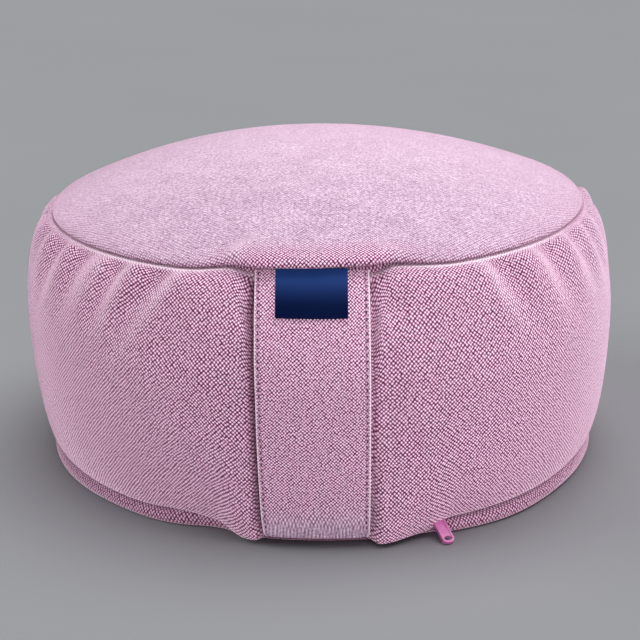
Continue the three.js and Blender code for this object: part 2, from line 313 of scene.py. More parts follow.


# Plain-weave cotton canvas, dyed mauve pink: matt, with a fuzz that catches the light at a slant. Thick soft
# threads stand up as uneven pale dots, in a checker, round dark rosy pits. The thread pitch is about 1.15 mm.
# Where the cover is sat on, the nap is rubbed up: paler, flecked and a little mottled, with the weave half
# hidden; the same pale nap colour also stands for a painted sheen on the top panel and a painted highlight
# on the band's far sides. A folded edge shows the pale crowns of its threads alone, with a painted highlight
# on lit edges, folds and crests. Painted shade darkens the sewn grooves, the rim and the band beside the
# strap. The strap's canvas is a little finer.
THREAD_PITCH = 1.15
DOT_PITCH = THREAD_PITCH * math.sqrt(2)
WEBBING_PITCH = 0.84 * DOT_PITCH
DOT_STRAY = 0.22
THREAD_WANDER = [
    {"size": 18, "shift": 2.4},
    {"size": 4.5, "shift": 0.7},
]
# A dot's height at its middle and how it falls off, in dot pitches, and how much single dots differ in tone
DOT_HEIGHT = {"middle": 0.95, "fall": -1.6}
DOT_VARIETY = 0.12
FLECK = {"size": 1.5, "gain": 1.3, "offset": -0.45}
MOTTLE = {"size": 14, "gain": 0.25}
NAP_WEAVE = 0.35
THREAD_RELIEF = {"height": 0.4, "strength": 0.8}
FUZZ = {"weight": 0.9, "roughness": 0.4, "tint": "#f8d2e8"}
WOVEN = [(0.14, "#430f2c"), (0.43, "#c37da9"), (0.73, "#ffe4f5")]
WEBBING = [(0.10, "#430f2c"), (0.39, "#c37da9"), (0.69, "#ffe4f5")]
NAP_SHEEN_TONES = [(0.0, "#724d6d"), (0.45, "#bb9eb6"), (0.9, "#eedeec")]
HIGHLIGHT_PINK = "#fbe6f3"
SHADE_ROSE = "#4a1834"


def per_metre(size):
    """Noise scale that gives features of a size in millimetres."""
    return 1 / (size * MM)


def cotton_canvas(name, woven, dot_pitch):
    material, tree, shader = new_material(name)
    place = add(tree, "ShaderNodeTexCoord").outputs["Object"]
    threads = add(tree, "ShaderNodeUVMap", {"uv_map": "weave"}).outputs["UV"]
    for row in THREAD_WANDER:
        shift = row["shift"] * MM
        wander = add(tree, "ShaderNodeTexNoise", Vector=place, Scale=per_metre(row["size"]), Detail=1.0)
        off = add(tree, "ShaderNodeVectorMath", {"operation": "SUBTRACT"}, in0=wander.outputs["Color"],
                  in1=(0.5, 0.5, 0.5))
        threads = add(tree, "ShaderNodeVectorMath", {"operation": "MULTIPLY_ADD"}, in0=off.outputs[0],
                      in1=(shift, shift, 0.0), in2=threads).outputs[0]
    checker = add(tree, "ShaderNodeVectorRotate", {"rotation_type": "Z_AXIS"}, Vector=threads,
                  Angle=math.pi / 4)
    dots = add(tree, "ShaderNodeTexVoronoi", {"voronoi_dimensions": "2D"}, Vector=checker.outputs[0],
               Scale=per_metre(dot_pitch), Randomness=DOT_STRAY)
    mottle = add(tree, "ShaderNodeTexNoise", Vector=place, Scale=per_metre(MOTTLE["size"]), Detail=3.0)
    fleck = add(tree, "ShaderNodeTexNoise", Vector=place, Scale=per_metre(FLECK["size"]), Detail=2.0)
    multiply_add = {"operation": "MULTIPLY_ADD"}
    height = add(tree, "ShaderNodeMath", multiply_add, in0=dots.outputs["Distance"], in1=DOT_HEIGHT["fall"],
                 in2=DOT_HEIGHT["middle"])
    tone = add(tree, "ShaderNodeMath", multiply_add, in0=dots.outputs["Color"], in1=DOT_VARIETY,
               in2=height.outputs[0])
    flecked = add(tree, "ShaderNodeMath", multiply_add, in0=fleck.outputs["Fac"], in1=FLECK["gain"],
                  in2=FLECK["offset"])
    patchy = add(tree, "ShaderNodeMath", multiply_add, in0=mottle.outputs["Fac"], in1=MOTTLE["gain"],
                 in2=flecked.outputs[0])
    nap_tone = add(tree, "ShaderNodeMath", multiply_add, in0=height.outputs[0], in1=NAP_WEAVE,
               in2=patchy.outputs[0])
    cloth = add(tree, "ShaderNodeValToRGB", stops=woven, Fac=tone.outputs[0])
    nap = add(tree, "ShaderNodeValToRGB", stops=NAP_SHEEN_TONES, Fac=nap_tone.outputs[0])
    colour = cloth.outputs["Color"]
    # Overlays: the pale nap colour, partly painted sheen; a painted highlight; painted shade
    overlays = {"rubbed": nap.outputs["Color"], "fold": linear(HIGHLIGHT_PINK), "cavity": linear(SHADE_ROSE)}
    for mark, over in overlays.items():
        amount = add(tree, "ShaderNodeAttribute", {"attribute_name": mark})
        colour = add(tree, "ShaderNodeMix", {"data_type": "RGBA"}, in0=amount.outputs["Fac"], in6=colour,
                     in7=over).outputs[2]
    bump = add(tree, "ShaderNodeBump", Height=tone.outputs[0], Strength=THREAD_RELIEF["strength"],
               Distance=THREAD_RELIEF["height"] * MM)
    tree.links.new(colour, shader.inputs["Base Color"])
    tree.links.new(bump.outputs["Normal"], shader.inputs["Normal"])
    shader.inputs["Roughness"].default_value = 0.95
    shader.inputs["Specular IOR Level"].default_value = 0.1
    shader.inputs["Sheen Weight"].default_value = FUZZ["weight"]
    shader.inputs["Sheen Roughness"].default_value = FUZZ["roughness"]
    shader.inputs["Sheen Tint"].default_value = linear(FUZZ["tint"])
    return material


# Spun polyester sewing thread: a slight gloss, with painted shade at the ends where a stitch dives into the
# cloth
STITCH_TONES = [(0.42, "#c890b6"), (0.56, "#2f0a20")]


def sewing_thread():
    material, tree, shader = new_material("polyester sewing thread")
    # Painted shade at each stitch's ends
    end = add(tree, "ShaderNodeAttribute", {"attribute_name": "stitch_end"})
    ramp = add(tree, "ShaderNodeValToRGB", stops=STITCH_TONES, Fac=end.outputs["Fac"])
    tree.links.new(ramp.outputs["Color"], shader.inputs["Base Color"])
    shader.inputs["Roughness"].default_value = 0.6
    return material


# Woven polyester satin: deep navy, with fine ribs across and a soft sheen, and a painted highlight where it
# bends out of the seam
SATIN_RIB = 0.5
SATIN_RELIEF = {"height": 0.1, "strength": 0.25}
SATIN = [(0, "#010a24"), (1, "#03123c")]
SATIN_HIGHLIGHT = "#2a4788"
# A wave texture's pitch is this share of a unit, at a scale of 1
WAVE_PITCH = math.pi / 10


def navy_satin():
    material, tree, shader = new_material("navy woven satin")
    uv = add(tree, "ShaderNodeUVMap", {"uv_map": "weave"})
    ribs = add(tree, "ShaderNodeTexWave", {"bands_direction": "Y"}, Vector=uv.outputs["UV"],
               Scale=WAVE_PITCH * per_metre(SATIN_RIB), Distortion=0.6)
    ramp = add(tree, "ShaderNodeValToRGB", stops=SATIN, Fac=ribs.outputs["Fac"])
    # Painted highlight where the label bends out of the seam
    bend = add(tree, "ShaderNodeAttribute", {"attribute_name": "fold"})
    colour = add(tree, "ShaderNodeMix", {"data_type": "RGBA"}, in0=bend.outputs["Fac"],
                 in6=ramp.outputs["Color"], in7=linear(SATIN_HIGHLIGHT))
    bump = add(tree, "ShaderNodeBump", Height=ribs.outputs["Fac"], Strength=SATIN_RELIEF["strength"],
               Distance=SATIN_RELIEF["height"] * MM)
    tree.links.new(colour.outputs[2], shader.inputs["Base Color"])
    tree.links.new(bump.outputs["Normal"], shader.inputs["Normal"])
    shader.inputs["Roughness"].default_value = 0.45
    shader.inputs["Specular IOR Level"].default_value = 0.03
    return material


# Stove enamel on die-cast zinc: glossy pink, a little rubbed
ENAMEL = [(0, "#a44c88"), (1, "#c46ca5")]
ENAMEL_WEAR = 2.86


def pink_enamel():
    material, tree, shader = new_material("pink enamelled zinc")
    place = add(tree, "ShaderNodeTexCoord")
    wear = add(tree, "ShaderNodeTexNoise", Vector=place.outputs["Object"], Scale=per_metre(ENAMEL_WEAR),
               Detail=4.0)
    ramp = add(tree, "ShaderNodeValToRGB", stops=ENAMEL, Fac=wear.outputs["Fac"])
    tree.links.new(ramp.outputs["Color"], shader.inputs["Base Color"])
    shader.inputs["Roughness"].default_value = 0.32
    shader.inputs["Coat Weight"].default_value = 0.3
    return material


# Painted studio floor: matt grey, even
PAINT = [(0, "#9c9ea1"), (1, "#a0a2a5")]
PAINT_PATCH = 333


def studio_paint():
    material, tree, shader = new_material("matt grey studio paint")
    place = add(tree, "ShaderNodeTexCoord")
    patch = add(tree, "ShaderNodeTexNoise", Vector=place.outputs["Object"], Scale=per_metre(PAINT_PATCH),
                Detail=2.0)
    ramp = add(tree, "ShaderNodeValToRGB", stops=PAINT, Fac=patch.outputs["Fac"])
    tree.links.new(ramp.outputs["Color"], shader.inputs["Base Color"])
    shader.inputs["Roughness"].default_value = 0.95
    shader.inputs["Specular IOR Level"].default_value = 0.1
    return material


# Shape of the cover

def bell(offset, width):
    """1 in the middle, falling away smoothly on both sides."""
    return np.exp(-(offset / width) ** 2)


def turn(angle, start):
    """Shortest turn from one angle to another, in degrees."""
    return (np.asarray(angle) - start + 180) % 360 - 180


def ease(value, start, end):
    """0 up to a start, easing to 1 at an end."""
    t = np.clip((value - start) / (end - start), 0, 1)
    return t * t * (3 - 2 * t)


def zone_weight(angle, zone):
    """1 inside a zone of the front, easing to 0 where it fades."""
    return 1 - ease(np.abs(turn(angle, zone["middle"])), zone["full"], zone["fades"])


def total(rows, angle, column):
    """Sum of a table's bells round the cushion, in one of its columns."""
    return sum(row[column] * bell(turn(angle, row["angle"]), row["width"]) for row in rows)


def mix(a, b, t):
    return a + (b - a) * t


def back_gathers():
    """The gathers round the back, a little uneven."""
    rows, angle, count = [], BACK_GATHERS["first"], 0

    def varied(size):
        return BACK_VARIES[size]["by"] * math.sin(BACK_VARIES[size]["turn"] * count)

    while angle < BACK_GATHERS["last"]:
        rows.append({
            "angle": angle,
            "depth": BACK_GATHERS["depth"] * (1 + varied("depth")),
            "width": BACK_GATHERS["width"],
            "slant": varied("slant"),
            "reach": BACK_GATHERS["reach"] + varied("reach"),
        })
        angle += BACK_GATHERS["spacing"] * (1 + varied("spacing"))
        count += 1
    return rows


ALL_GATHERS = GATHERS + back_gathers()


def gather(offset, width):
    """A sewn gather across its length: a valley between two soft ridges."""
    ridge = GATHER_RIDGE["place"] * width
    ridges = bell(offset - ridge, width) + bell(offset + ridge, width)
    return bell(offset, width) - GATHER_RIDGE["height"] * ridges


def drawn_in(angle, drop):
    """How far the band is drawn in, at a drop below the seam."""
    depth = np.zeros(np.broadcast(angle, drop).shape)
    for g in ALL_GATHERS:
        fall = np.clip(1 - drop / (GATHERS_LONGER * g["reach"]), 0, 1) ** GATHERS_FALL
        offset = turn(angle, g["angle"] + g["slant"] * drop)
        depth += GATHERS_DEEPER * g["depth"] * fall * gather(offset, g["width"])
    for h in HOLLOWS:
        depth += h["depth"] * bell(turn(angle, h["angle"]), h["wide"]) * bell(drop - h["drop"], h["tall"])
    return depth


def crests(angle, drop):
    """How far each place lies on the crest of a gather, on the side towards the strap: its painted highlight.
    """
    on_crest = np.zeros(np.broadcast(angle, drop).shape)
    for g in GATHERS:
        fall = np.clip(1 - drop / g["reach"], 0, 1)
        to_strap = -math.copysign(1, g["angle"]) * turn(angle, g["angle"] + g["slant"] * drop)
        on_crest += fall * bell(to_strap - CREST["place"] * g["width"], CREST["wide"] * g["width"])
    return on_crest


def section_at(angle):
    """Sizes of the cover's section at each angle."""
    sag = zone_weight(angle, SAG_ZONE)
    seam_r = SEAM_RADIUS - total(SEAM_PULLS, angle, "inward")
    crease_r = CREASE_RADIUS + total(SAG_LOBES, angle, "out")
    crease_z = mix(CREASE_HEIGHT + total(CREASE_RISES, angle, "up"), SAG_HEIGHT, sag)
    seam_z = SEAM_HEIGHT + SEAM_TILT * seam_r * np.sin(np.radians(angle)) + total(SEAM_PULLS, angle, "up")
    return {
        "seam_r": seam_r, "seam_z": seam_z, "crease_r": crease_r, "crease_z": crease_z,
        "roll": zone_weight(angle, ROLL_ZONE), "bulge_r": BULGE_RADIUS,
        "band_r": seam_r + BAND_START["out"], "band_z": seam_z - BAND_START["down"], "slope": 0,
        "rim_r": mix(RIM_RADIUS + total(RIM_SPREADS, angle, "out"), SAG_RIM, sag),
    }


def band_profile(s, step):
    """Radius and height of the side band: step 0 at the top seam, 1 at its fullest, 2 at the bottom seam."""
    start = math.radians(s["slope"])
    quarter = mix(start, math.pi / 2, step) if step <= 1 else (step - 1) * math.pi / 2
    c = abs(math.cos(quarter)) ** BULGE_FULLNESS
    n = math.sin(quarter) ** BULGE_FULLNESS
    if step > 1:
        return mix(s["crease_r"], s["bulge_r"], c), mix(BULGE_HEIGHT, s["crease_z"], n)
    start_c = math.cos(start) ** BULGE_FULLNESS
    start_n = math.sin(start) ** BULGE_FULLNESS
    r = mix(s["band_r"], s["bulge_r"], (n - start_n) / (1 - start_n))
    return r, mix(BULGE_HEIGHT, s["band_z"], c / start_c)


def strap_edges(down):
    """Left and right edge of the strap, from 0 at its top to 1 at its foot."""
    stations = [row["down"] for row in STRAP_EDGES]
    edges = [[row[side] for row in STRAP_EDGES] for side in ("left", "right")]
    return [float(np.interp(down, stations, edge)) for edge in edges]


def placed(angle, r, z):
    """A point of a section turned into place, leaning with its height, in millimetres."""
    a = np.radians(angle)
    up = z / SEAM_HEIGHT
    x = FOOT[0] + LEAN[0] * up + r * np.sin(a)
    y = FOOT[1] + LEAN[1] * up - r * np.cos(a)
    return np.stack(np.broadcast_arrays(x, y, z), -1)


def band_normal(s, step):
    """Outward and upward parts of the band profile's normal."""
    r0, z0 = band_profile(s, max(0, step - NUDGE))
    r1, z1 = band_profile(s, min(2, step + NUDGE))
    length = np.hypot(r1 - r0, z1 - z0)
    return (z0 - z1) / length, (r1 - r0) / length


def marked(points, rubbed=0, fold=0, cavity=0):
    """Points with their marks: pale nap, partly painted sheen; painted highlight on folds; painted shade in
    grooves.
    """
    marks = np.broadcast_arrays(rubbed, fold, cavity, points[:, 0])[:3]
    return np.concatenate([points, np.stack(marks, -1)], -1)


def top_folds(points):
    """Height that the folds of the top panel add."""
    height = np.zeros(len(points))
    for f in TOP_FOLDS:
        start, run = np.array(f["start"]), np.array(f["end"]) - np.array(f["start"])
        length = np.linalg.norm(run)
        along = (points[:, :2] - start) @ run / length ** 2
        across = (points[:, :2] - start) @ np.array([-run[1], run[0]]) / length
        ends = ease(along, *FOLD_RISES) * (1 - ease(along, *FOLD_FALLS))
        height += f["height"] * bell(across, f["width"]) * ends
    return height


def at_front(angle):
    return np.abs(turn(angle, 0)) < 90


def beside_strap(x, step):
    """How far a place lies outside the strap's edges, below 0 between them."""
    left, right = strap_edges(step / 2)
    return np.maximum(left - x, x - right)


def under_strap(angle, x, step):
    """1 under the strap, easing to 0 beside it."""
    below_top = ease(step, 0, STRAP_BED_EDGE["top_ends"])
    fades = mix(STRAP_BED_EDGE["top_fades"], STRAP_BED_EDGE["fades"], below_top)
    under = 1 - ease(beside_strap(x, step), STRAP_BED_EDGE["margin"], fades)
    return under * at_front(angle)


def band_row(angle, step):
    """One row of the side band: flat under the strap, puffed out and gathered elsewhere."""
    s = section_at(angle)
    r, z = band_profile(s, step)
    out, up = band_normal(s, step)
    drop = s["seam_z"] - z
    crest = crests(angle, drop)
    depth = drawn_in(angle, drop) * ease(step, 0, GATHERS_START)
    r, z = r - depth * out, z - depth * up
    bed_r, bed_z = band_profile(STRAP_BED, step)
    x = placed(angle, r, z)[:, 0]
    under = under_strap(angle, x, step)
    front = at_front(angle)
    beside = beside_strap(x, step)
    crevice = STRAP_CREVICE["depth"] * bell(beside - STRAP_CREVICE["out"], STRAP_CREVICE["width"]) * front
    crevice = crevice * (1 - ease(step, *STRAP_CREVICE["ends"]))
    # Painted shade beside the strap, heavier on its left, away from the light
    shade = np.where(x < 0, STRAP_SHADE["left"], STRAP_SHADE["right"]) * front
    points = placed(angle, mix(r, bed_r, under) - crevice * out, mix(z, bed_z, under) - crevice * up)
    # Pale nap colour on the far sides, a painted highlight; the pale crests of the gathers are a painted
    # highlight too
    nap = np.interp(turn(angle, 0), [row["angle"] for row in SIDE_HIGHLIGHT], [row["share"] for row in SIDE_HIGHLIGHT])
    return marked(points, rubbed=nap * (1 - ease(step, *SIDE_HIGHLIGHT_ENDS)), fold=CREST["pale"] * crest,
                  cavity=shade * bell(np.maximum(beside, 0), STRAP_SHADE["width"]))


def cover_rows(angle):
    """The cover's rows of points from the crown out, down and under, and where each panel's rows end."""
    s = section_at(angle)
    roll = s["roll"]

    def edge_point(row):
        return (s["seam_r"] + mix(row["out"], row["strap_out"], roll),
                s["seam_z"] + mix(row["up"], row["strap_up"], roll))

    edge_r, edge_z = edge_point(EDGE_ROWS[0])
    even_r = SEAM_RADIUS + EDGE_ROWS[0]["out"]
    even_z = SEAM_HEIGHT + SEAM_TILT * even_r * np.sin(np.radians(angle)) + EDGE_ROWS[0]["up"]
    rows = []
    for i in range(1, PANEL_ROWS + 1):
        t = math.sin(math.pi / 2 * i / PANEL_ROWS) ** PANEL_SPACING
        tug = t ** PULL_FADE
        z = CROWN_HEIGHT + (even_z - CROWN_HEIGHT) * t ** CROWN_POWER + (edge_z - even_z) * tug
        points = placed(angle, even_r * t + (edge_r - even_r) * tug, z)
        raised = top_folds(points)
        points[:, 2] += raised
        # Pale nap colour on the top panel, partly a painted sheen of cloth seen at a slant
        nap = 1 - PANEL_NAP_SHEEN["thins"] * ease(t, PANEL_NAP_SHEEN["from"], PANEL_NAP_SHEEN["to"])
        nap = mix(nap, EDGE_ROWS[0]["rubbed"] * (1 - roll), ease(t, PANEL_NAP_SHEEN["ends"], 1))
        # Painted highlight on the raised folds
        rows.append(marked(points, rubbed=nap, fold=FOLD_HIGHLIGHT * raised))
    # Rolled edge: pale nap colour, partly painted sheen, and painted shade that deepens into the seam
    for row in EDGE_ROWS[1:]:
        points = placed(angle, *edge_point(row))
        rows.append(marked(points, rubbed=row["rubbed"] * (1 - roll), cavity=row["cavity"]))
    panel_end = len(rows) - 1
    bed_r, bed_z = band_profile(STRAP_BED, 0)
    # The ridge's pale line is a painted highlight, and the seam above it takes painted shade
    line = 1 - ease(np.abs(turn(angle, 0)), RIDGE_LINE["full"], RIDGE_LINE["fades"])
    line = line * mix(1, RIDGE_LINE["by_strap"], roll)
    for k, row in enumerate(RIDGE_ROWS):
        r, z = s["seam_r"] + row["out"], s["seam_z"] + row["up"]
        under = under_strap(angle, placed(angle, r, z)[:, 0], 0)
        short = len(RIDGE_ROWS) - k
        points = placed(angle, mix(r, bed_r - RIDGE_TUCK["inward"] * short, under),
                        mix(z, bed_z + RIDGE_TUCK["up"] * short, under))
        rows.append(marked(points, fold=row["fold"] * line, cavity=row["cavity"]))
    for i in range(BAND_ROWS + 1):
        rows.append(band_row(angle, 2 * i / BAND_ROWS))
    # Root of the bottom seam, in painted shade
    groove_r = np.minimum(s["crease_r"], s["rim_r"]) - CREASE_GROOVE
    points = placed(angle, groove_r, CREASE_ROOT["height"] * s["crease_z"])
    rows.append(marked(points, cavity=CREASE_ROOT["dark"]))
    # Painted shade on the rim under the band's overhang
    shade = mix(RIM_SHADE["sides"], RIM_SHADE["front"], zone_weight(angle, SAG_ZONE))
    for row in RIM_ROWS:
        points = placed(angle, s["rim_r"] - row["inset"], row["height"] * s["crease_z"])
        rows.append(marked(points, cavity=shade))
    rim_end = len(rows) - 1
    for t in BASE_ROWS:
        rows.append(marked(placed(angle, s["rim_r"] * t, 0 * angle)))
    return rows, panel_end, rim_end


def mesh_object(name, points, faces, uvs=None, **marks):
    """A mesh from points in millimetres, its faces, a weave coordinate in metres for each face corner, and
    marks, a value for each point."""
    mesh = bpy.data.meshes.new(name)
    mesh.from_pydata((np.asarray(points) * MM).tolist(), [], faces)
    if uvs is not None:
        layer = mesh.uv_layers.new(name="weave")
        layer.uv.foreach_set("vector", np.asarray(uvs, dtype=np.float32).ravel())
    for mark, values in marks.items():
        attribute = mesh.attributes.new(mark, "FLOAT", "POINT")
        attribute.data.foreach_set("value", np.asarray(values, dtype=np.float32))
    mesh.update()
    piece = bpy.data.objects.new(name, mesh)
    bpy.context.scene.collection.objects.link(piece)
    return piece


def alone(piece):
    """Deselects all else and makes a piece active."""
    bpy.ops.object.select_all(action="DESELECT")
    piece.select_set(True)
    bpy.context.view_layer.objects.active = piece


def apply_all(piece):
    alone(piece)
    for modifier in list(piece.modifiers):
        bpy.ops.object.modifier_apply(modifier=modifier.name)


def smooth(piece):
    alone(piece)
    bpy.ops.object.shade_smooth()


def section_angles():
    """Angles of the sections, from the back round by the front."""
    ends = [row["from"] for row in SECTION_STEPS[1:]] + [180]
    return np.concatenate([np.arange(row["from"], end, row["step"]) for row, end in zip(SECTION_STEPS, ends)])


def smoothed(grid, closed):
    """One step of smooth subdivision along a grid's first axis, by the rule of a subdivision surface."""
    before, after = np.roll(grid, 1, 0), np.roll(grid, -1, 0)
    corners = 0.125 * before + 0.75 * grid + 0.125 * after
    if not closed:
        corners[0], corners[-1] = grid[0], grid[-1]
    fine = np.stack([corners, (grid + after) / 2], 1).reshape(-1, *grid.shape[1:])
    return fine if closed else fine[:-1]


def swelling():
    """How the filling swells the side band, from a cloth simulation: a coarse cover is held at its seams and
    under the strap, and pressed out from inside. Gives the sections' angles, and each row's shift out and up
    at them, less the mean shift, so that the cover keeps its own size."""
    angle = np.arange(-180, 180, 360 / SWELL["sections"])
    rows, panel_end, _ = cover_rows(angle)
    grid = np.stack(rows)[:, :, :3]
    count, sections = grid.shape[:2]
    index = np.arange(count * sections).reshape(count, sections)
    across = np.roll(index, -1, 1)
    faces = np.stack([index[:-1], index[1:], across[1:], across[:-1]], -1).reshape(-1, 4).tolist()
    faces += [index[0].tolist(), index[-1][::-1].tolist()]
    piece = mesh_object("swelling_cover", grid.reshape(-1, 3), faces)
    band_start = panel_end + len(RIDGE_ROWS) + 2
    band_end = band_start + BAND_ROWS - 1
    held = np.ones((count, sections), dtype=bool)
    held[band_start:band_end] = np.abs(angle) < SWELL["strap"]
    piece.vertex_groups.new(name="held").add(index[held].tolist(), 1, "REPLACE")
    cloth = piece.modifiers.new("Cloth", "CLOTH")
    cloth.settings.vertex_group_mass = "held"
    cloth.settings.use_pressure = True
    cloth.settings.uniform_pressure_force = SWELL["pressure"]
    cloth.settings.tension_stiffness = cloth.settings.compression_stiffness = SWELL["stiffness"]
    cloth.settings.shear_stiffness = SWELL["shear"]
    cloth.settings.effector_weights.gravity = 0
    cloth.point_cache.frame_end = SWELL["frames"]
    for moment in range(1, SWELL["frames"] + 1):
        bpy.context.scene.frame_set(moment)
    apply_all(piece)
    places = np.empty(grid.size)
    piece.data.vertices.foreach_get("co", places)
    bpy.data.objects.remove(piece)
    bpy.context.scene.frame_set(1)
    shift = places.reshape(grid.shape) / MM - grid
    far = np.linalg.norm(shift, axis=2, keepdims=True)
    shift *= np.minimum(1, SWELL["limit"] / np.maximum(far, SWELL["limit"]))
    a = np.radians(angle)
    shift = np.stack([shift[..., 0] * np.sin(a) - shift[..., 1] * np.cos(a), shift[..., 2]], -1)
    free = ease(np.abs(angle), SWELL["strap"], 2 * SWELL["strap"])
    return angle, shift - free[:, None] * shift[:, free == 1].mean(1, keepdims=True)


def make_cushion():
    angle = section_angles()
    rows, panel_end, rim_end = cover_rows(angle)
    sections, shifts = swelling()
    for row, shift in zip(rows, shifts):
        out, up = [np.interp(angle, sections, shift[:, k], period=360) for k in (0, 1)]
        row[:, 0] += out * np.sin(np.radians(angle))
        row[:, 1] -= out * np.cos(np.radians(angle))
        row[:, 2] += up
    grid = smoothed(np.stack(rows), False)
    grid = smoothed(grid.swapaxes(0, 1), True).swapaxes(0, 1)
    angle = smoothed(np.unwrap(np.radians(angle)), False)
    angle = np.append(angle, (angle[-1] + angle[0] + 2 * math.pi) / 2)
    panel_end, rim_end = 2 * panel_end, 2 * rim_end
    count, round_count = grid.shape[:2]
    points = grid.reshape(-1, grid.shape[2])
    top, base = len(points), len(points) + 1
    points = np.concatenate([points, marked(placed(np.zeros(1), 0, np.full(1, CROWN_HEIGHT)), rubbed=1),
                             marked(placed(np.zeros(1), 0, np.zeros(1)))])
    points, marks = points[:, :3], points[:, 3:].T
    lengths = np.linalg.norm(np.diff(grid[:, :, :3], axis=0), axis=2).mean(1)
    first = np.linalg.norm(grid[0, :, :3] - points[top], axis=1).mean()
    down = np.concatenate([[0], np.cumsum(lengths)]) + first
    threads_round = 2 * round(math.pi * BULGE_RADIUS / THREAD_PITCH)
    around = np.append(angle, angle[0] + 2 * math.pi) / (2 * math.pi) * threads_round * THREAD_PITCH

    def flat(i, k):
        """Weave coordinate on the top panel: its true distance from the crown, in its own direction."""
        a = angle[k % round_count]
        return math.sin(a) * down[i], -math.cos(a) * down[i]

    def unrolled(i, k):
        """Weave coordinate on the band and rim, unrolled."""
        return around[k], -down[i]

    faces, uvs = [], []
    for k in range(round_count):
        n = (k + 1) % round_count
        faces.append((top, k, n))
        uvs += [(0, 0), flat(0, k), flat(0, n)]
        for i in range(count - 1):
            row, below = i * round_count, (i + 1) * round_count
            faces.append((row + k, below + k, below + n, row + n))
            if i >= rim_end:
                uvs += [points[v, :2] for v in faces[-1]]
                continue
            lay = flat if i < panel_end else unrolled
            uvs += [lay(i, k), lay(i + 1, k), lay(i + 1, k + 1), lay(i, k + 1)]
        last = (count - 1) * round_count
        faces.append((last + k, base, last + n))
        uvs += [points[v, :2] for v in faces[-1]]
    piece = mesh_object("cushion_cover", points, faces, np.array(uvs) * MM, rubbed=marks[0], fold=marks[1],
                        cavity=marks[2])
    smooth(piece)
    piece.data.materials.append(cotton_canvas("mauve cotton canvas", WOVEN, DOT_PITCH))
    return piece


# Strap handle, stitches and label

def over_bed(x, step, lift):
    """A point over the strap's bed, x across and one step down it, lifted along the bed's normal."""
    r, z = band_profile(STRAP_BED, step)
    above = np.array(band_profile(STRAP_BED, step - NUDGE))
    below = np.array(band_profile(STRAP_BED, min(2, step + NUDGE)))
    along = (below - above) / np.linalg.norm(below - above)
    r, z = r - lift * along[1], z + lift * along[0]
    middle = placed(np.zeros(1), 0, np.array([z]))[0, 0]
    angle = np.degrees(np.arcsin((x - middle) / r))
    return placed(np.atleast_1d(angle), r, np.atleast_1d(z))


def bed_lengths(steps):
    """Length along the bed from its top to each of a run of steps."""
    path = np.array([band_profile(STRAP_BED, t) for t in steps])
    return np.concatenate([[0], np.cumsum(np.linalg.norm(np.diff(path, axis=0), axis=1))])


def bed_length(steps):
    """Length along the bed from one step to another."""
    return bed_lengths(np.linspace(*steps, BED_SAMPLES))[-1]


def sheet_over_bed(name, steps, shares, edges, lift, thick, **marks):
    """A sheet over the bed: rows at steps, columns at shares of its width. lift(share, step) goes to its
    face, and each mark is a function of the same two."""
    points, flat = [], []
    down, last = 0, steps[0]
    for step in steps:
        left, right = edges(step / 2)
        x = mix(left, right, shares)
        ribbed = ease(step, STRAP_RIBS["from"], STRAP_RIBS["full"])
        down += bed_length((last, step)) * mix(1, STRAP_RIBS["squeeze"], ribbed)
        last = step
        for j, share in enumerate(shares):
            points.append(over_bed(x[j], step, lift(share, step))[0])
            flat.append((x[j], -down))
    columns = len(shares)
    faces, uvs = [], []
    for i in range(len(steps) - 1):
        for j in range(columns - 1):
            a = i * columns + j
            face = (a, a + columns, a + columns + 1, a + 1)
            faces.append(face)
            uvs += [flat[v] for v in face]
    values = {}
    for mark, value in marks.items():
        values[mark] = [value(share, step) for step in steps for share in shares]
    piece = mesh_object(name, points, faces, np.array(uvs) * MM, **values)
    solid = piece.modifiers.new("Solidify", "SOLIDIFY")
    solid.thickness = thick * MM
    solid.offset = -1
    subdivide = piece.modifiers.new("Subdivision", "SUBSURF")
    subdivide.levels = subdivide.render_levels = 1
    apply_all(piece)
    smooth(piece)
    return piece


def from_edge(share, step):
    """Distance from the strap's nearer edge."""
    left, right = strap_edges(step / 2)
    return min(share, 1 - share) * (right - left)


def strap_face(share, step):
    """Height of the strap's face over its bed: rounded edges, and a dip along each row of stitches."""
    inset = from_edge(share, step)
    edge = STRAP["rounding"] * (1 - ease(inset, 0, STRAP["round_width"]))
    dip = STITCH_DIP["depth"] * bell(inset - STITCH_INSET, STITCH_DIP["width"])
    return STRAP["gap"] + STRAP["thick"] - edge - dip


def strap_fold(share, step):
    """The pale line along the strap's folded edges: thread crowns and a painted highlight, more on the lit
    right.
    """
    side = "left" if share < 0.5 else "right"
    return STRAP_EDGE_HIGHLIGHT[side] * (1 - ease(from_edge(share, step), STRAP_EDGE_HIGHLIGHT["full"], STRAP_EDGE_HIGHLIGHT["fades"]))


def strap_painted_shade(share, step):
    """Painted shade in the stitched groove, and on the strap's foot where it turns under."""
    groove = STITCH_SHADE["share"] * bell(from_edge(share, step) - STITCH_INSET, STITCH_SHADE["width"])
    end = STRAP_STEPS[1]
    return groove + FOOT_SHADE["share"] * ease(step, end - FOOT_SHADE["steps"], end)


def strap_rubbed(share, step):
    """Nap on the ribbed foot of the strap."""
    return STRAP_RIBS["rubbed"] * ease(step, STRAP_RIBS["from"], STRAP_RIBS["full"])


def make_handle():
    steps = np.linspace(*STRAP_STEPS, STRAP_ROWS)
    shares = np.concatenate([STRAP_SIDE_COLUMNS, STRAP_INNER_COLUMNS, 1 - STRAP_SIDE_COLUMNS[::-1]])
    thick = STRAP["thick"] - STRAP["clearance"]
    # Marks on the strap: nap on its ribbed foot, painted highlight on its folded edges, painted shade in the
    # stitched grooves and on its foot
    piece = sheet_over_bed("strap_handle", steps, shares, strap_edges, strap_face, thick,
                           rubbed=strap_rubbed, fold=strap_fold, cavity=strap_painted_shade)
    piece.data.materials.append(cotton_canvas("mauve canvas webbing", WEBBING, WEBBING_PITCH))
    return piece


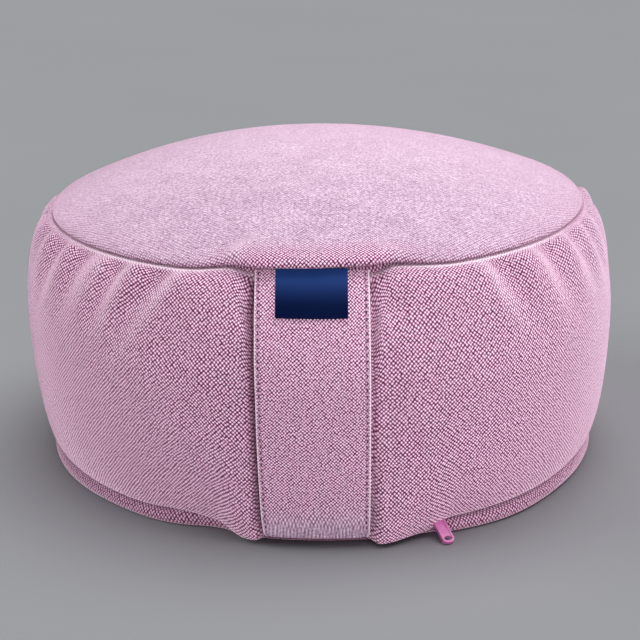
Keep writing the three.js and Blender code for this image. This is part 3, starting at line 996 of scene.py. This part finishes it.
def make_stitches():
    """Two rows of edge stitching on the strap: one stitch is modelled, and its copies are one joined mesh."""
    bpy.ops.object.select_all(action="DESELECT")
    bpy.ops.mesh.primitive_uv_sphere_add(segments=STITCH["sides"], ring_count=STITCH["rings"], radius=0.5)
    pattern = bpy.context.object
    unit = np.array([v.co for v in pattern.data.vertices])
    loops = [np.array(f.vertices) for f in pattern.data.polygons]
    bpy.data.objects.remove(pattern)
    fine = np.linspace(*STRAP_STEPS, 2 * BED_SAMPLES)
    lengths = bed_lengths(fine)
    points, faces, along = [], [], []
    for side in (0, 1):
        for k in range(int(lengths[-1] / STITCH["pitch"])):
            middle = (k + 0.5) * STITCH["pitch"]
            ends = []
            for offset in (-0.5, 0.5):
                step = float(np.interp(middle + offset * STITCH["length"], lengths, fine))
                left, right = strap_edges(step / 2)
                x = left + STITCH_INSET if side == 0 else right - STITCH_INSET
                lift = strap_face(STITCH_INSET / (right - left), step) + STITCH["proud"]
                ends.append(over_bed(x, step, lift)[0])
            axis = (ends[1] - ends[0]) / STITCH["length"]
            across = np.array([1.0, 0.0, 0.0])
            outward = np.cross(across, axis)
            basis = np.stack([across * STITCH["wide"], outward * STITCH["wide"], axis * STITCH["length"]])
            faces += [(f + len(points) * len(unit)).tolist() for f in loops]
            points.append(unit @ basis + (ends[0] + ends[1]) / 2)
            along.append(np.abs(unit[:, 2]) * 2)
    piece = mesh_object("strap_stitches", np.concatenate(points), faces, stitch_end=np.concatenate(along))
    alone(piece)
    bpy.ops.object.mode_set(mode="EDIT")
    bpy.ops.mesh.select_all(action="SELECT")
    bpy.ops.mesh.normals_make_consistent(inside=False)
    bpy.ops.object.mode_set(mode="OBJECT")
    smooth(piece)
    piece.data.materials.append(sewing_thread())
    return piece


def label_face(share, step):
    """Height of the label's face over the bed: a bend below the seam, and a loose end that stands off."""
    base = STRAP["gap"] + STRAP["thick"] + LABEL["gap"] + LABEL["thick"]
    curl = LABEL_CURL["height"] * max(0, step / LABEL_STEPS[1]) ** LABEL_CURL["power"]
    return base + curl + LABEL_BEND["height"] * bell(step - LABEL_BEND["step"], LABEL_BEND["width"])


def label_sheen(share, step):
    """Painted highlight on the satin where the label bends out of the seam."""
    return LABEL_SHEEN["share"] * (1 - ease(step, LABEL_SHEEN["from"], LABEL_SHEEN["ends"]))


def make_label():
    def edges(down):
        return LABEL["x"] - LABEL["width"] / 2, LABEL["x"] + LABEL["width"] / 2

    steps = np.linspace(*LABEL_STEPS, LABEL["rows"])
    shares = np.linspace(0, 1, LABEL["columns"])
    piece = sheet_over_bed("seam_label", steps, shares, edges, label_face, LABEL["thick"], fold=label_sheen)
    piece.data.materials.append(navy_satin())
    return piece


# Zip pull

def make_zip_pull():
    half = PULL["width"] / 2
    end = PULL["length"]

    def outline(inset):
        """The tab's outline, drawn in by an inset: square at its root, round at its tip."""
        r = half - inset
        tip = half * PULL_ARC["height"]
        points = [(-r, -end + inset), (r, -end + inset)]
        for a in np.linspace(0, math.pi, PULL_ARC["points"]):
            points.append((r * math.cos(a), -tip + (tip - inset) * math.sin(a)))
        return points

    eye = []
    for a in np.linspace(0, 2 * math.pi, PULL_EYE["points"], endpoint=False):
        eye.append((PULL_EYE["wide"] * math.cos(a), -PULL_EYE["from_tip"] + PULL_EYE["tall"] * math.sin(a)))
    plate_high = PULL_PLATE["low"] + PULL_PLATE["thick"]
    parts = []
    for loops, low, high in (((outline(PULL_PLATE["inset"]), eye), PULL_PLATE["low"], plate_high),
                             ((outline(0), outline(PULL["rim"])), 0, PULL["rim_thick"])):
        curve = bpy.data.curves.new("tab", "CURVE")
        curve.dimensions = "2D"
        curve.fill_mode = "BOTH"
        curve.extrude = (high - low) / 2 * MM
        curve.bevel_depth = PULL["bevel"] * MM
        curve.bevel_resolution = 2
        for loop in loops:
            spline = curve.splines.new("POLY")
            spline.points.add(len(loop) - 1)
            for point, (x, y) in zip(spline.points, loop):
                point.co = (x * MM, y * MM, 0, 1)
            spline.use_cyclic_u = True
        part = bpy.data.objects.new("tab", curve)
        part.location.z = (low + high) / 2 * MM
        bpy.context.scene.collection.objects.link(part)
        parts.append(part)
    bpy.ops.object.select_all(action="DESELECT")
    for part in parts:
        part.select_set(True)
    bpy.context.view_layer.objects.active = parts[0]
    bpy.ops.object.convert(target="MESH")
    bpy.ops.object.transform_apply(location=True, rotation=True, scale=True)
    bpy.ops.object.join()
    piece = bpy.context.object
    piece.name = "zip_pull_tab"
    piece.rotation_euler = (math.radians(-PULL_RISE), 0, math.pi + math.radians(PULL_HEADING))
    piece.location = Vector(PULL_TIP) * MM
    bpy.ops.object.transform_apply(location=True, rotation=True, scale=True)
    bpy.ops.object.shade_smooth_by_angle(angle=math.radians(PULL["smooth"]))
    piece.data.materials.append(pink_enamel())
    return piece


# Camera, light and floor

def make_camera():
    data = bpy.data.cameras.new("camera")
    data.sensor_width = SENSOR_MM
    data.lens = SENSOR_MM * FOCAL_PIXELS / PHOTO_PIXELS
    camera = bpy.data.objects.new("camera", data)
    camera.location = (0, -CAMERA_BACK * MM, CAMERA_HEIGHT * MM)
    camera.rotation_euler = (math.radians(90 - CAMERA_PITCH), 0, 0)
    bpy.context.scene.collection.objects.link(camera)
    bpy.context.scene.camera = camera


def make_light(row):
    data = bpy.data.lights.new(row["name"], "SUN")
    data.energy = row["strength"]
    data.angle = math.radians(row["angle"])
    light = bpy.data.objects.new(row["name"], data)
    light.rotation_euler = Vector(row["towards"]).to_track_quat("Z", "Y").to_euler()
    bpy.context.scene.collection.objects.link(light)
    return light


def make_studio():
    bpy.ops.object.select_all(action="DESELECT")
    bpy.ops.mesh.primitive_plane_add(size=STUDIO["floor_metres"], location=(0, 0, 0))
    floor = bpy.context.object
    floor.name = "studio_floor"
    floor.data.materials.append(studio_paint())
    world = bpy.data.worlds.new("studio")
    world.use_nodes = True
    background = world.node_tree.nodes["Background"]
    background.inputs["Color"].default_value = linear(STUDIO["air"])
    background.inputs["Strength"].default_value = STUDIO["air_strength"]
    bpy.context.scene.world = world
    off_floor = bpy.data.collections.new("off_floor")
    off_floor.objects.link(floor)
    off_floor.collection_objects[0].light_linking.link_state = "EXCLUDE"
    for row in LIGHTS:
        light = make_light(row)
        if not row["on_floor"]:
            light.light_linking.receiver_collection = off_floor
    bpy.context.scene.view_settings.view_transform = "Standard"


make_camera()
cushion = make_cushion()
handle = make_handle()
stitches = make_stitches()
label = make_label()
zip_pull = make_zip_pull()
make_studio()

for piece, node, slot in (
    (cushion, "cushion", "cover_canvas"),
    (handle, "handle", "strap_canvas"),
    (stitches, None, "strap_canvas"),
    (label, "label", "label_satin"),
    (zip_pull, "zip_pull", "pull_enamel"),
):
    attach(piece, ROOT)
    if node:
        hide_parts(node)
